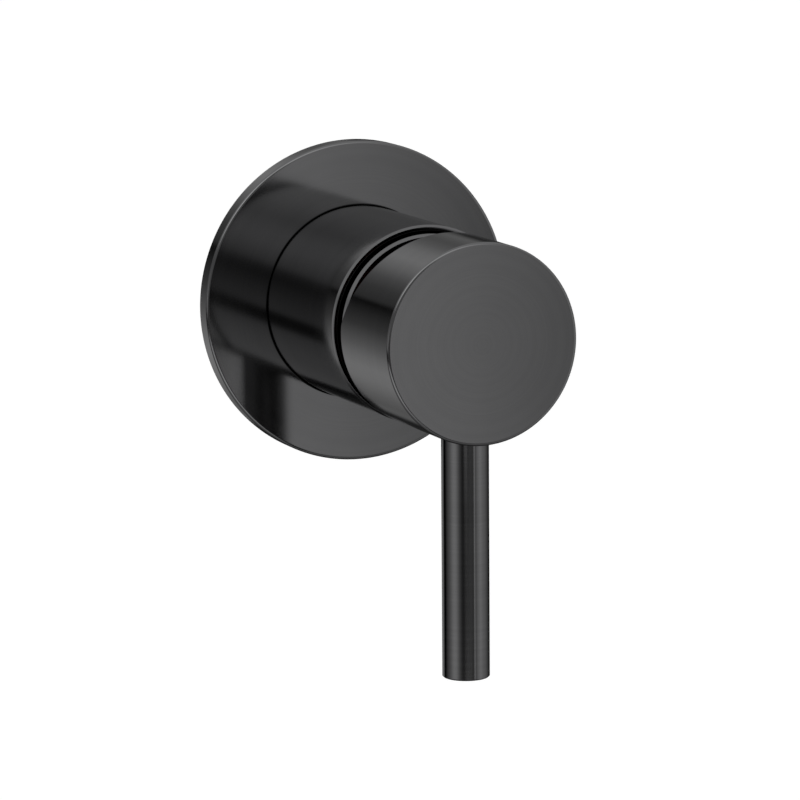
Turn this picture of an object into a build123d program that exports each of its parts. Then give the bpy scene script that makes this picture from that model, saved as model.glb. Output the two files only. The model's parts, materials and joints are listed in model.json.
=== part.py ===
from build123d import *
import os
from math import cos, radians, sin, tan

# Single-lever shower mixer with its body in the wall and a pin lever under a round head.
# The finished wall is the plane y = 0 and the turning axis is the Y axis. The room is on the -Y side.
# Depths are counted out of the wall into the room, and are negative inside the wall.

os.makedirs("parts", exist_ok=True)

# Working planes
SECTION = Plane(origin=(0, 0, 0), x_dir=(1, 0, 0), z_dir=(0, 0, -1))  # radius across, depth up
SIDE = Plane(origin=(0, 0, 0), x_dir=(0, -1, 0), z_dir=(-1, 0, 0))  # depth across, height up
FACE = Plane.XZ  # width across, height up, offset by the depth

# Clearances
slip = 0.05  # pieces that are assembled one in the other
running = 0.08  # pieces that turn or slide
seal_nip = 0.05  # between a seal and its seat
thread_gap = 0.05  # between a thread's outside and its hole

# Wall flange
flange_radius = 40.0
flange_depth = 4.6
flange_skin = 1.8
flange_rim = 2.0
flange_edge = 0.5
flange_gap = 0.5
collar_width = 3.6
collar_edge = 0.2
gasket_inset = 0.6
flange_seal_wire = 0.9

# Sleeve over the barrel
sleeve_gap = 1.7
sleeve_wall = 1.3
sleeve_back = 1.0
sleeve_setback = 0.6  # of its lip behind the front of the cartridge's neck
sleeve_edge = 0.45
sleeve_back_edge = 0.3
sleeve_seat = 15.0
sleeve_seal_depth = 9.0
sleeve_seal_wire = 0.9

# Round head of the lever
head_radius = 23.9
head_gap = 5.2
head_length = 29.4
head_edge = 0.35
head_back_edge = 0.3
head_wall = 1.7
cavity_depth = 11.9
boss_radius = 9.0
boss_length = 6.0
relief_height = 2.0
relief_angle = 22.8

# Pin lever
lever_radius = 5.64
lever_setback = 10.8  # of its axis behind the head's face
lever_end = -81.05
lever_edge = 0.3
lever_seat_depth = 2.4
stud_radius = 4.0
stud_gap = 0.75
stud_edge = 0.6
stud_neck = 1.4

# Motion
pivot_height = 5.5  # above the cartridge's shoulder
lift_angle = 25.0
turn_angle = 50.0

# Spindle
shank_size = 8.0
shank_past_grub = 1.3
spindle_edge = 0.8
eye_radius = 4.2
pivot_radius = 1.5
arm_top_radius = 2.4
arm_radius = 1.9
tip_radius = 2.6
tip_sink = 1.2  # of the ball's centre below the carrier's top
insert_wall = 1.5
insert_past_shank = 0.8
insert_window = 3.3

# Grub screw
grub_radius = 3.0
grub_length = 7.2
grub_key = 3.0
grub_key_depth = 3.0
grub_cup = 1.2

# Cartridge
cartridge_radius = 17.5
cartridge_wall = 1.5
chamber_floor = 14.0
base_height = 3.5
base_step = 3.0
locating_pin_radius = 1.8
locating_pin_length = 2.5
locating_pin_place = (12.0, 8.0)
fixed_disc_height = 3.5
fixed_disc_gap = 0.8
disc_key_width = 3.0
disc_key_depth = 1.6
disc_key_height = 2.0
moving_disc_height = 2.95
moving_disc_gap = 0.5
disc_start = 2.5
mixing_pocket_depth = 1.8
mixing_pocket_size = (19.0, 11.0)
mixing_pocket_height = 5.8
carrier_height = 6.2
carrier_gap = 0.35
carrier_flat = 2.0
carrier_lug = 3.8
carrier_lug_depth = 1.4
carrier_lug_height = 1.8
socket_play = 0.2
socket_floor = 0.5
inlet_place = (8.2, -4.5)
outlet_place = (0.0, 8.5)
inlet_radius = 2.8
outlet_radius = 3.6
disc_inlet_slot = (4.4, 3.2)
disc_outlet_slot = (9.0, 4.6)
seal_width = 1.5
seal_height = 1.2
seal_inset = 0.2

# Turret that carries the spindle
turret_flange_gap = 0.6
turret_flange_height = 2.5
turret_radius = 11.1
turret_proud = 0.7
nose_radius = 9.4
nose_length = 2.7
nose_proud = 1.7
skirt_drop = 5.9
spindle_play = 0.2
slot_play = 0.3
turret_seal_wire = 0.75
turret_seal_height = 1.3  # above the cartridge's shoulder
thrust_height = 1.05
neck_wall = 1.4
neck_length = 11.0
shoulder_wall = 1.3
stop_notch_height = 2.4
stop_tab_angle = 12.0
stop_margin = 1.0
limit_ring_height = 1.9

# Retaining nut and dome ring
barrel_wall = 1.4
barrel_above_shoulder = 4.5
ring_thread_length = 16.0
ring_thread_depth = 1.05
barrel_edge = 0.5
nut_ledge = 0.95
nut_height = 6.0
nut_bore_gap = 0.3
nut_slots = 6
nut_slot_width = 4.0
nut_slot_depth = 2.5
nut_thread_run = 1.0
dome_gap = 0.65
dome_lift = 1.0
dome_shelf_lift = 3.0  # of the dome's inner shelf above the barrel
dome_shelf_step = 1.5
dome_rim_proud = 1.3  # of the rim past the cartridge's neck
dome_rim_edge = 0.62
dome_proud = 1.6  # of the middle past the cartridge's neck
dome_hole_gap = 0.6
dome_wall = 1.4
dome_back_edge = 0.3

# Body inside the wall, with half-inch pipe threads in its ports
core_step = 2.0
core_front = -1.0
core_edge = 3.0
port_depth = -14.0
port_reach = 27.0
port_bore = 10.48
port_bore_length = 13.0
port_mouth_edge = 0.8
port_wall = 3.0
port_sides = 8
port_flats_length = 9.0
inlet_gallery_radius = 4.4
inlet_gallery_stop = 6.6
riser_radius = 4.2
lug_circle_radius = 30.0
lug_radius = 5.0
lug_hole_radius = 2.4
lug_front = -4.0
lug_thickness = 5.0
lug_count = 4
lug_angle = 45.0

# Blanking plug in the lower port
plug_head_step = 2.6
plug_head_height = 3.2
plug_thread_length = 10.0
plug_key = 8.0
plug_key_depth = 6.0
plug_edge = 0.5
washer_height = 1.2

# Sizes that follow from those above
chamber_radius = cartridge_radius + 2 * slip
housing_bore = cartridge_radius - cartridge_wall
fixed_disc_radius = housing_bore - fixed_disc_gap
moving_disc_radius = housing_bore - moving_disc_gap - disc_start
carrier_half_width = moving_disc_radius - carrier_flat
turret_flange_radius = housing_bore - turret_flange_gap
nut_thread_radius = chamber_radius + nut_ledge
ring_thread_radius = nut_thread_radius + barrel_wall
barrel_radius = ring_thread_radius + ring_thread_depth
sleeve_seat_radius = barrel_radius + 2 * slip
sleeve_bore = barrel_radius + sleeve_gap
sleeve_radius = sleeve_bore + sleeve_wall
dome_radius = sleeve_bore - dome_gap
core_radius = barrel_radius + core_step
port_boss_radius = port_bore + port_wall
core_back = port_depth - port_boss_radius
plug_head_radius = port_bore + plug_head_step
base_top = chamber_floor + base_height
disc_seat = base_top + base_step
disc_face = disc_seat + fixed_disc_height
moving_face = disc_face + slip
carrier_face = moving_face + moving_disc_height
carrier_top = carrier_face + carrier_height
tip_depth = carrier_top - tip_sink
turret_flange_back = carrier_top + carrier_gap
turret_flange_front = turret_flange_back + turret_flange_height
shoulder_depth = turret_flange_front + slip + thrust_height + slip + shoulder_wall
turret_seal_depth = shoulder_depth + turret_seal_height
pivot_depth = shoulder_depth + pivot_height
neck_front = shoulder_depth + neck_length
neck_bore = turret_radius + running
neck_radius = neck_bore + neck_wall
turret_front = neck_front + turret_proud
barrel_front = shoulder_depth + barrel_above_shoulder
barrel_neck_start = barrel_front - ring_thread_length
nut_counterbore = shoulder_depth - nut_thread_run
dome_start = barrel_neck_start + dome_lift
dome_rim = neck_front + dome_rim_proud
dome_front = neck_front + dome_proud
sleeve_front = neck_front - sleeve_setback
head_back = sleeve_front + head_gap
head_front = head_back + head_length
lever_depth = head_front - lever_setback
spindle_end = lever_depth + shank_past_grub
cavity_radius = head_radius - head_wall
cavity_floor = head_back + cavity_depth
boss_back = cavity_floor - boss_length
insert_size = shank_size + 2 * slip + 2 * insert_wall
socket_size = insert_size + 2 * slip
insert_length = spindle_end + insert_past_shank - boss_back
socket_end = boss_back + insert_length + 2 * slip
grub_top = -shank_size / 2 - slip
grub_bottom = grub_top - grub_length
stud_end = grub_bottom - stud_gap
lever_seat = lever_seat_depth - head_radius
dome_hole = neck_radius + dome_hole_gap


def ring_groove(seat_radius, wire, outward):
    """Centre circle of an O-ring on a seat, and the floor of the groove that holds it."""
    side = 1 if outward else -1
    centre = seat_radius + side * (seal_nip + wire)
    return centre, centre + side * (wire + seal_nip)


# Body in the wall: a brass casting with a barrel, four ports and its fixing lugs
sleeve_seal_centre, sleeve_seal_floor = ring_groove(sleeve_seat_radius, sleeve_seal_wire, False)
sleeve_seal_half = sleeve_seal_wire + seal_nip
port_centre = Vector(0, -port_depth, 0)
port_directions = [Vector(-1, 0, 0), Vector(1, 0, 0), Vector(0, 0, 1), Vector(0, 0, -1)]
port_mouths = [Plane(origin=port_centre + d * port_reach, z_dir=-d) for d in port_directions]

with BuildPart() as mixer_body:
    with BuildSketch(SECTION):
        with BuildLine():
            Polyline(
                (0, core_back),
                (core_radius - core_edge, core_back),
                (core_radius, core_back + core_edge),
                (core_radius, core_front),
                (barrel_radius, core_front),
                (barrel_radius, sleeve_seal_depth - sleeve_seal_half),
                (sleeve_seal_floor, sleeve_seal_depth - sleeve_seal_half),
                (sleeve_seal_floor, sleeve_seal_depth + sleeve_seal_half),
                (barrel_radius, sleeve_seal_depth + sleeve_seal_half),
                (barrel_radius, barrel_neck_start),
                (ring_thread_radius, barrel_neck_start),
                (ring_thread_radius, barrel_front - barrel_edge),
                (ring_thread_radius - barrel_edge, barrel_front),
                (nut_thread_radius + thread_gap, barrel_front),
                (nut_thread_radius + thread_gap, nut_counterbore),
                (chamber_radius, nut_counterbore),
                (chamber_radius, chamber_floor),
                (0, chamber_floor),
                close=True,
            )
        make_face()
    revolve(axis=Axis.Y)
    for mouth in port_mouths:
        with BuildSketch(mouth):
            RegularPolygon(port_boss_radius, port_sides, major_radius=False, rotation=180 / port_sides)
        extrude(amount=port_flats_length)
        with BuildSketch(mouth):
            Circle(port_boss_radius)
        extrude(amount=port_reach)
    with BuildSketch(FACE.offset(lug_front - lug_thickness)):
        for bar_angle in (lug_angle, -lug_angle):
            Rectangle(2 * lug_circle_radius, 2 * lug_radius, rotation=bar_angle)
        with PolarLocations(lug_circle_radius, lug_count, start_angle=lug_angle):
            Circle(lug_radius)
    extrude(amount=lug_thickness)
    with BuildSketch(FACE.offset(lug_front - lug_thickness)):
        with PolarLocations(lug_circle_radius, lug_count, start_angle=lug_angle):
            Circle(lug_hole_radius)
    extrude(amount=lug_thickness, mode=Mode.SUBTRACT)
    for mouth in port_mouths:
        with BuildSketch(mouth):
            Circle(port_bore)
        extrude(amount=port_bore_length, mode=Mode.SUBTRACT)
        with BuildSketch(mouth):
            Circle(port_bore + port_mouth_edge)
        extrude(amount=port_mouth_edge, taper=45, mode=Mode.SUBTRACT)
    for mouth in port_mouths[:2]:
        with BuildSketch(mouth):
            Circle(inlet_gallery_radius)
        extrude(amount=port_reach - inlet_gallery_stop, mode=Mode.SUBTRACT)
    with BuildSketch(port_mouths[2]):
        Circle(riser_radius)
    extrude(amount=2 * port_reach, mode=Mode.SUBTRACT)
    with BuildSketch(FACE.offset(port_depth)):
        with Locations(inlet_place, (-inlet_place[0], inlet_place[1])):
            Circle(inlet_radius)
        with Locations(outlet_place):
            Circle(outlet_radius)
    extrude(amount=chamber_floor - port_depth, mode=Mode.SUBTRACT)
    with BuildSketch(FACE.offset(chamber_floor)):
        with Locations(locating_pin_place, (-locating_pin_place[0], locating_pin_place[1])):
            Circle(locating_pin_radius + 2 * slip)
    extrude(amount=-(locating_pin_length + socket_floor), mode=Mode.SUBTRACT)
mixer_body.part.label = "mixer_body"
export_step(mixer_body.part, "parts/mixer_body.step")

# Wall flange: a turned dish with a rim at the wall and a collar round the sleeve
flange_hole = sleeve_radius + flange_gap
flange_seal_centre, flange_seal_floor = ring_groove(sleeve_radius, flange_seal_wire, True)
flange_seal_half = flange_seal_wire + seal_nip
flange_seal_depth = flange_depth / 2
collar_outside = flange_hole + collar_width
flange_inside = flange_depth - flange_skin

with BuildPart() as wall_flange:
    with BuildSketch(SECTION):
        with BuildLine():
            Polyline(
                (flange_hole, 0),
                (flange_hole, flange_seal_depth - flange_seal_half),
                (flange_seal_floor, flange_seal_depth - flange_seal_half),
                (flange_seal_floor, flange_seal_depth + flange_seal_half),
                (flange_hole, flange_seal_depth + flange_seal_half),
                (flange_hole, flange_depth - collar_edge),
                (flange_hole + collar_edge, flange_depth),
                (flange_radius - flange_edge, flange_depth),
                (flange_radius, flange_depth - flange_edge),
                (flange_radius, 0),
                (flange_radius - flange_rim, 0),
                (flange_radius - flange_rim, flange_inside),
                (collar_outside, flange_inside),
                (collar_outside, 0),
                close=True,
            )
        make_face()
    revolve(axis=Axis.Y)
wall_flange.part.label = "wall_flange"
export_step(wall_flange.part, "parts/wall_flange.step")

# Foam gasket between the flange and the wall
gasket_outside = flange_radius - flange_rim - gasket_inset

with BuildPart() as flange_gasket:
    with BuildSketch(FACE):
        Circle(gasket_outside)
        Circle(collar_outside + gasket_inset, mode=Mode.SUBTRACT)
    extrude(amount=flange_inside)
flange_gasket.part.label = "flange_gasket"
export_step(flange_gasket.part, "parts/flange_gasket.step")


def o_ring(label, centre_radius, depth, wire):
    """An O-ring about the mixer's axis, written to its own file."""
    with BuildPart() as ring:
        with BuildSketch(SECTION):
            with Locations((centre_radius, depth)):
                Circle(wire)
        revolve(axis=Axis.Y)
    ring.part.label = label
    export_step(ring.part, f"parts/{label}.step")


# O-rings of the flange and the sleeve
o_ring("flange_o_ring", flange_seal_centre, flange_seal_depth, flange_seal_wire)
o_ring("sleeve_o_ring", sleeve_seal_centre, sleeve_seal_depth, sleeve_seal_wire)

# Sleeve: a thin tube with a thicker seat at the wall end, which slides over the barrel
seat_end = sleeve_back + sleeve_seat
seat_step = sleeve_bore - sleeve_seat_radius

with BuildPart() as sleeve:
    with BuildSketch(SECTION):
        with BuildLine():
            Polyline(
                (sleeve_seat_radius, sleeve_back),
                (sleeve_radius - sleeve_back_edge, sleeve_back),
                (sleeve_radius, sleeve_back + sleeve_back_edge),
                (sleeve_radius, sleeve_front - sleeve_edge),
                (sleeve_radius - sleeve_edge, sleeve_front),
                (sleeve_bore, sleeve_front),
                (sleeve_bore, seat_end + seat_step),
                (sleeve_seat_radius, seat_end),
                close=True,
            )
        make_face()
    revolve(axis=Axis.Y)
sleeve.part.label = "sleeve"
export_step(sleeve.part, "parts/sleeve.step")

# Cartridge base: the plastic foot with the three ports, its locating pins and seal recesses
inlet_places = [inlet_place, (-inlet_place[0], inlet_place[1])]
pin_places = [locating_pin_place, (-locating_pin_place[0], locating_pin_place[1])]
step_radius = housing_bore - slip
key_inside = fixed_disc_radius - disc_key_depth

with BuildPart() as cartridge_base:
    with BuildSketch(FACE.offset(chamber_floor)):
        Circle(cartridge_radius)
    extrude(amount=base_height)
    with BuildSketch(FACE.offset(base_top)):
        Circle(step_radius)
    extrude(amount=base_step)
    with BuildSketch(FACE.offset(disc_seat)):
        with Locations(((key_inside + step_radius) / 2, 0), (-(key_inside + step_radius) / 2, 0)):
            Rectangle(step_radius - key_inside, disc_key_width)
        Circle(step_radius, mode=Mode.INTERSECT)
    extrude(amount=disc_key_height)
    with BuildSketch(FACE.offset(chamber_floor - locating_pin_length)):
        with Locations(*pin_places):
            Circle(locating_pin_radius)
    extrude(amount=locating_pin_length)
    with BuildSketch(FACE.offset(chamber_floor)):
        with Locations(*inlet_places):
            Circle(inlet_radius)
        with Locations(outlet_place):
            Circle(outlet_radius)
    extrude(amount=base_height + base_step, mode=Mode.SUBTRACT)
    for recess_depth in (chamber_floor, disc_seat - seal_height):
        with BuildSketch(FACE.offset(recess_depth)):
            with Locations(*inlet_places):
                Circle(inlet_radius + seal_inset + seal_width)
            with Locations(outlet_place):
                Circle(outlet_radius + seal_inset + seal_width)
        extrude(amount=seal_height, mode=Mode.SUBTRACT)
cartridge_base.part.label = "cartridge_base"
export_step(cartridge_base.part, "parts/cartridge_base.step")


def port_seals(label, depth):
    """The three rubber rings of one side of the cartridge base, written to one file."""
    with BuildPart() as seals:
        with BuildSketch(FACE.offset(depth)):
            with Locations(*inlet_places):
                Circle(inlet_radius + seal_width)
            with Locations(outlet_place):
                Circle(outlet_radius + seal_width)
            with Locations(*inlet_places):
                Circle(inlet_radius, mode=Mode.SUBTRACT)
            with Locations(outlet_place):
                Circle(outlet_radius, mode=Mode.SUBTRACT)
        extrude(amount=seal_height)
    seals.part.label = label
    export_step(seals.part, f"parts/{label}.step")


# Rubber seals under the base and between the base and the fixed disc
port_seals("base_seals", chamber_floor)
port_seals("disc_seals", disc_seat - seal_height)

# Fixed ceramic disc: two inlet slots, the outlet slot and a notch for each key of the base
with BuildPart() as fixed_disc:
    with BuildSketch(FACE.offset(disc_seat)):
        Circle(fixed_disc_radius)
        with Locations((fixed_disc_radius, 0), (-fixed_disc_radius, 0)):
            Rectangle(2 * (disc_key_depth + slip), disc_key_width + 2 * slip, mode=Mode.SUBTRACT)
        with Locations(*inlet_places):
            SlotOverall(*disc_inlet_slot, mode=Mode.SUBTRACT)
        with Locations(outlet_place):
            SlotOverall(*disc_outlet_slot, mode=Mode.SUBTRACT)
    extrude(amount=fixed_disc_height)
fixed_disc.part.label = "fixed_disc"
export_step(fixed_disc.part, "parts/fixed_disc.step")

# Moving ceramic disc: a mixing pocket on its working face and two notches for the carrier
with BuildPart() as moving_disc:
    with BuildSketch(FACE.offset(moving_face)):
        with Locations((0, disc_start)):
            Circle(moving_disc_radius)
        with Locations((0, disc_start + moving_disc_radius), (0, disc_start - moving_disc_radius)):
            Rectangle(carrier_lug + 2 * slip, 2 * (carrier_lug_depth + slip), mode=Mode.SUBTRACT)
    extrude(amount=moving_disc_height)
    with BuildSketch(FACE.offset(moving_face)):
        with Locations((0, mixing_pocket_height)):
            SlotOverall(*mixing_pocket_size)
    extrude(amount=mixing_pocket_depth, mode=Mode.SUBTRACT)
moving_disc.part.label = "moving_disc"
export_step(moving_disc.part, "parts/moving_disc.step")

# Carrier of the moving disc: two lugs hold the disc and a socket takes the spindle's ball
socket_radius = tip_radius + socket_play
socket_bottom = tip_depth - tip_radius - socket_floor

with BuildPart() as disc_carrier:
    with BuildSketch(FACE.offset(carrier_face)):
        with Locations((0, disc_start)):
            Circle(moving_disc_radius)
            Rectangle(2 * carrier_half_width, 2 * moving_disc_radius, mode=Mode.INTERSECT)
    extrude(amount=carrier_height)
    with BuildSketch(FACE.offset(carrier_face - carrier_lug_height)):
        with Locations((0, disc_start)):
            Rectangle(carrier_lug, 2 * moving_disc_radius)
            Rectangle(carrier_lug, 2 * (moving_disc_radius - carrier_lug_depth), mode=Mode.SUBTRACT)
            Circle(moving_disc_radius, mode=Mode.INTERSECT)
    extrude(amount=carrier_lug_height)
    with BuildSketch(FACE.offset(socket_bottom)):
        Circle(socket_radius)
    extrude(amount=carrier_top - socket_bottom, mode=Mode.SUBTRACT)
disc_carrier.part.label = "disc_carrier"
export_step(disc_carrier.part, "parts/disc_carrier.step")

# Cartridge housing: a cup round the discs with a neck for the turret and a notch that stops the turn
notch_half_angle = turn_angle + stop_tab_angle / 2 + stop_margin

with BuildPart() as cartridge_housing:
    with BuildSketch(SECTION):
        with BuildLine():
            Polyline(
                (housing_bore, base_top),
                (cartridge_radius, base_top),
                (cartridge_radius, shoulder_depth),
                (neck_radius, shoulder_depth),
                (neck_radius, neck_front),
                (neck_bore, neck_front),
                (neck_bore, shoulder_depth - shoulder_wall),
                (housing_bore, shoulder_depth - shoulder_wall),
                close=True,
            )
        make_face()
    revolve(axis=Axis.Y)
    with BuildSketch(FACE.offset(neck_front - stop_notch_height)):
        with BuildLine():
            notch_arc = CenterArc((0, 0), cartridge_radius, 90 - notch_half_angle, 2 * notch_half_angle)
            Line((0, 0), notch_arc @ 0)
            Line((0, 0), notch_arc @ 1)
        make_face()
    extrude(amount=stop_notch_height, mode=Mode.SUBTRACT)
cartridge_housing.part.label = "cartridge_housing"
export_step(cartridge_housing.part, "parts/cartridge_housing.step")

# Turret: turns in the housing's neck, carries the spindle's pin and guides the disc carrier
turret_seal_centre, turret_seal_floor = ring_groove(neck_bore, turret_seal_wire, False)
turret_seal_half = turret_seal_wire + seal_nip
slot_half_width = shank_size / 2 + spindle_play
skirt_back = turret_flange_back - skirt_drop
nose_back = turret_front - nose_length
nose_front = turret_front + nose_proud

with BuildPart() as turret:
    with BuildSketch(SECTION):
        with BuildLine():
            Polyline(
                (0, turret_flange_back),
                (turret_flange_radius, turret_flange_back),
                (turret_flange_radius, turret_flange_front),
                (turret_radius, turret_flange_front),
                (turret_radius, turret_seal_depth - turret_seal_half),
                (turret_seal_floor, turret_seal_depth - turret_seal_half),
                (turret_seal_floor, turret_seal_depth + turret_seal_half),
                (turret_radius, turret_seal_depth + turret_seal_half),
                (turret_radius, nose_back),
                (nose_radius, nose_back),
                (nose_radius, nose_front),
                (0, nose_front),
                close=True,
            )
        make_face()
    revolve(axis=Axis.Y)
    with BuildSketch(FACE.offset(skirt_back)):
        Circle(turret_flange_radius)
        Rectangle(2 * (carrier_half_width + running), 2 * turret_flange_radius, mode=Mode.SUBTRACT)
    extrude(amount=skirt_drop)
    with BuildSketch(SIDE):
        with Locations((pivot_depth, 0)):
            Circle(eye_radius + slot_play)
        with BuildLine():
            half_slot = shank_size / 2 + slot_play
            slot_reach = nose_front - pivot_depth + slot_play
            lean = radians(lift_angle)
            Polyline(
                (pivot_depth, -half_slot),
                (pivot_depth + slot_reach, -half_slot),
                (pivot_depth + slot_reach, slot_reach * tan(lean) + half_slot / cos(lean)),
                (pivot_depth - half_slot * sin(lean), half_slot * cos(lean)),
                close=True,
            )
        make_face()
        with BuildLine():
            half_arm = arm_top_radius + slot_play
            arm_reach = pivot_depth - turret_flange_back + slot_play
            Polyline(
                (pivot_depth, half_arm),
                (pivot_depth - arm_reach, half_arm),
                (pivot_depth - arm_reach, -arm_reach * tan(lean) - half_arm / cos(lean)),
                (pivot_depth, -half_arm / cos(lean)),
                close=True,
            )
        make_face()
    extrude(amount=slot_half_width, both=True, mode=Mode.SUBTRACT)
    with BuildSketch(Plane.YZ):
        with Locations((-pivot_depth, 0)):
            Circle(pivot_radius + slip)
    extrude(amount=turret_radius, both=True, mode=Mode.SUBTRACT)
turret.part.label = "turret"
export_step(turret.part, "parts/turret.step")

# Turret seal, low-friction ring and pivot pin
o_ring("turret_seal", turret_seal_centre, turret_seal_depth, turret_seal_wire)

with BuildPart() as thrust_ring:
    with BuildSketch(FACE.offset(turret_flange_front + slip)):
        Circle(turret_flange_radius - seal_inset)
        Circle(turret_radius + running, mode=Mode.SUBTRACT)
    extrude(amount=thrust_height)
thrust_ring.part.label = "thrust_ring"
export_step(thrust_ring.part, "parts/thrust_ring.step")

pivot_half_length = turret_radius - seal_inset - 2 * slip

with BuildPart() as pivot_pin:
    with BuildSketch(Plane.YZ):
        with Locations((-pivot_depth, 0)):
            Circle(pivot_radius)
    extrude(amount=pivot_half_length, both=True)
pivot_pin.part.label = "pivot_pin"
export_step(pivot_pin.part, "parts/pivot_pin.step")

# Limit ring: sits on the turret's nose, and its tab runs in the notch of the housing's neck
tab_inside = neck_bore + 2 * slip

with BuildPart() as limit_ring:
    with BuildSketch(FACE.offset(turret_front - slip)):
        Circle(neck_radius - slip)
        Circle(nose_radius + slip, mode=Mode.SUBTRACT)
    extrude(amount=limit_ring_height)
    with BuildSketch(FACE.offset(neck_front - stop_notch_height + 2 * slip)):
        with BuildLine():
            tab_arc = CenterArc((0, 0), neck_radius - slip, 90 - stop_tab_angle / 2, stop_tab_angle)
            Line((0, 0), tab_arc @ 0)
            Line((0, 0), tab_arc @ 1)
        make_face()
        Circle(tab_inside, mode=Mode.SUBTRACT)
    extrude(amount=turret_front - neck_front + stop_notch_height - 2 * slip)
limit_ring.part.label = "limit_ring"
export_step(limit_ring.part, "parts/limit_ring.step")

# Retaining nut: threads into the barrel and holds the cartridge by its shoulder
with BuildPart() as cartridge_nut:
    with BuildSketch(FACE.offset(shoulder_depth)):
        Circle(nut_thread_radius)
        Circle(neck_radius + nut_bore_gap, mode=Mode.SUBTRACT)
    extrude(amount=nut_height)
    with BuildSketch(FACE.offset(shoulder_depth + nut_height - nut_slot_depth)):
        with PolarLocations(nut_thread_radius, nut_slots):
            Rectangle(nut_thread_radius - neck_radius, nut_slot_width)
    extrude(amount=nut_slot_depth, mode=Mode.SUBTRACT)
cartridge_nut.part.label = "cartridge_nut"
export_step(cartridge_nut.part, "parts/cartridge_nut.step")

# Dome ring: the turned cover that hides the nut, seen in the gap behind the head
dome_bore = ring_thread_radius + thread_gap
dome_shelf = barrel_front + dome_shelf_lift
dome_inside = dome_radius - 2 * dome_wall

with BuildPart() as dome_ring:
    with BuildSketch(SECTION):
        with BuildLine():
            Polyline(
                (dome_radius - dome_rim_edge, dome_rim),
                (dome_hole, dome_front),
                (dome_hole, dome_front - dome_wall),
                (dome_inside, dome_rim - dome_wall),
                (dome_inside, dome_shelf),
                (dome_bore, dome_shelf - dome_shelf_step),
                (dome_bore, dome_start),
                (dome_radius - dome_back_edge, dome_start),
                (dome_radius, dome_start + dome_back_edge),
                (dome_radius, dome_rim - dome_rim_edge),
                close=True,
            )
        make_face()
    revolve(axis=Axis.Y)
dome_ring.part.label = "dome_ring"
export_step(dome_ring.part, "parts/dome_ring.step")

# Spindle: a square shank on a cross pin, and an arm whose ball moves the disc carrier
with BuildPart() as spindle:
    with BuildSketch(FACE.offset(pivot_depth)):
        Rectangle(shank_size, shank_size)
    extrude(amount=spindle_end - pivot_depth)
    chamfer(spindle.faces().sort_by(Axis.Y)[0].edges(), spindle_edge)
    with BuildSketch(SIDE):
        with Locations((pivot_depth, 0)):
            Circle(eye_radius)
    extrude(amount=shank_size / 2, both=True)
    with BuildSketch(SECTION):
        with BuildLine():
            Polyline(
                (0, pivot_depth - pivot_radius - slip),
                (arm_top_radius, pivot_depth - pivot_radius - slip),
                (arm_radius, tip_depth + tip_radius),
                (arm_radius, tip_depth),
                (0, tip_depth),
                close=True,
            )
        make_face()
    revolve(axis=Axis.Y)
    with Locations((0, -tip_depth, 0)):
        Sphere(tip_radius)
    with BuildSketch(Plane.YZ):
        with Locations((-pivot_depth, 0)):
            Circle(pivot_radius + slip)
    extrude(amount=shank_size, both=True, mode=Mode.SUBTRACT)
spindle.part.label = "spindle"
export_step(spindle.part, "parts/spindle.step")

# Socket insert: a square plastic bush between the spindle and the head
with BuildPart() as socket_insert:
    with BuildSketch(FACE.offset(boss_back + slip)):
        Rectangle(insert_size, insert_size)
        Rectangle(shank_size + 2 * slip, shank_size + 2 * slip, mode=Mode.SUBTRACT)
    extrude(amount=insert_length)
    with BuildSketch(Plane.XY.offset(-insert_size)):
        with Locations((0, -lever_depth)):
            Circle(insert_window)
    extrude(amount=insert_size, mode=Mode.SUBTRACT)
socket_insert.part.label = "socket_insert"
export_step(socket_insert.part, "parts/socket_insert.step")

# Head: a turned cup with a boss for the spindle, a seat for the pin lever and a slanted relief at the top
relief_slope = tan(radians(relief_angle))
relief_top = head_radius + head_wall
stud_hole_length = stud_end - lever_seat + thread_gap

with BuildPart() as handle_head:
    with BuildSketch(SECTION):
        with BuildLine():
            Polyline(
                (cavity_radius, head_back),
                (head_radius - head_back_edge, head_back),
                (head_radius, head_back + head_back_edge),
                (head_radius, head_front - head_edge),
                (head_radius - head_edge, head_front),
                (0, head_front),
                (0, boss_back),
                (boss_radius, boss_back),
                (boss_radius, cavity_floor),
                (cavity_radius, cavity_floor),
                close=True,
            )
        make_face()
    revolve(axis=Axis.Y)
    with BuildSketch(SIDE):
        with BuildLine():
            Polyline(
                (head_back - head_wall, relief_height - head_wall / relief_slope),
                (head_back + (relief_top - relief_height) * relief_slope, relief_top),
                (head_back - head_wall, relief_top),
                close=True,
            )
        make_face()
    extrude(amount=head_radius + head_wall, both=True, mode=Mode.SUBTRACT)
    with BuildSketch(FACE.offset(boss_back)):
        Rectangle(socket_size, socket_size)
    extrude(amount=socket_end - boss_back, mode=Mode.SUBTRACT)
    with BuildSketch(Plane.XY.offset(-head_radius - head_wall)):
        with Locations((0, -lever_depth)):
            Circle(lever_radius + slip)
    extrude(amount=lever_seat + head_radius + head_wall, mode=Mode.SUBTRACT)
    with BuildSketch(Plane.XY.offset(lever_seat)):
        with Locations((0, -lever_depth)):
            Circle(stud_radius + thread_gap)
    extrude(amount=stud_hole_length, mode=Mode.SUBTRACT)
    with BuildSketch(Plane.XY.offset(stud_end)):
        with Locations((0, -lever_depth)):
            Circle(grub_radius + thread_gap)
    extrude(amount=-stud_end, mode=Mode.SUBTRACT)
handle_head.part.label = "handle_head"
export_step(handle_head.part, "parts/handle_head.step")

# Pin lever: a straight turned pin with a threaded stud that screws into the head
lever_axis = Axis((0, -lever_depth, 0), (0, 0, 1))

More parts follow.
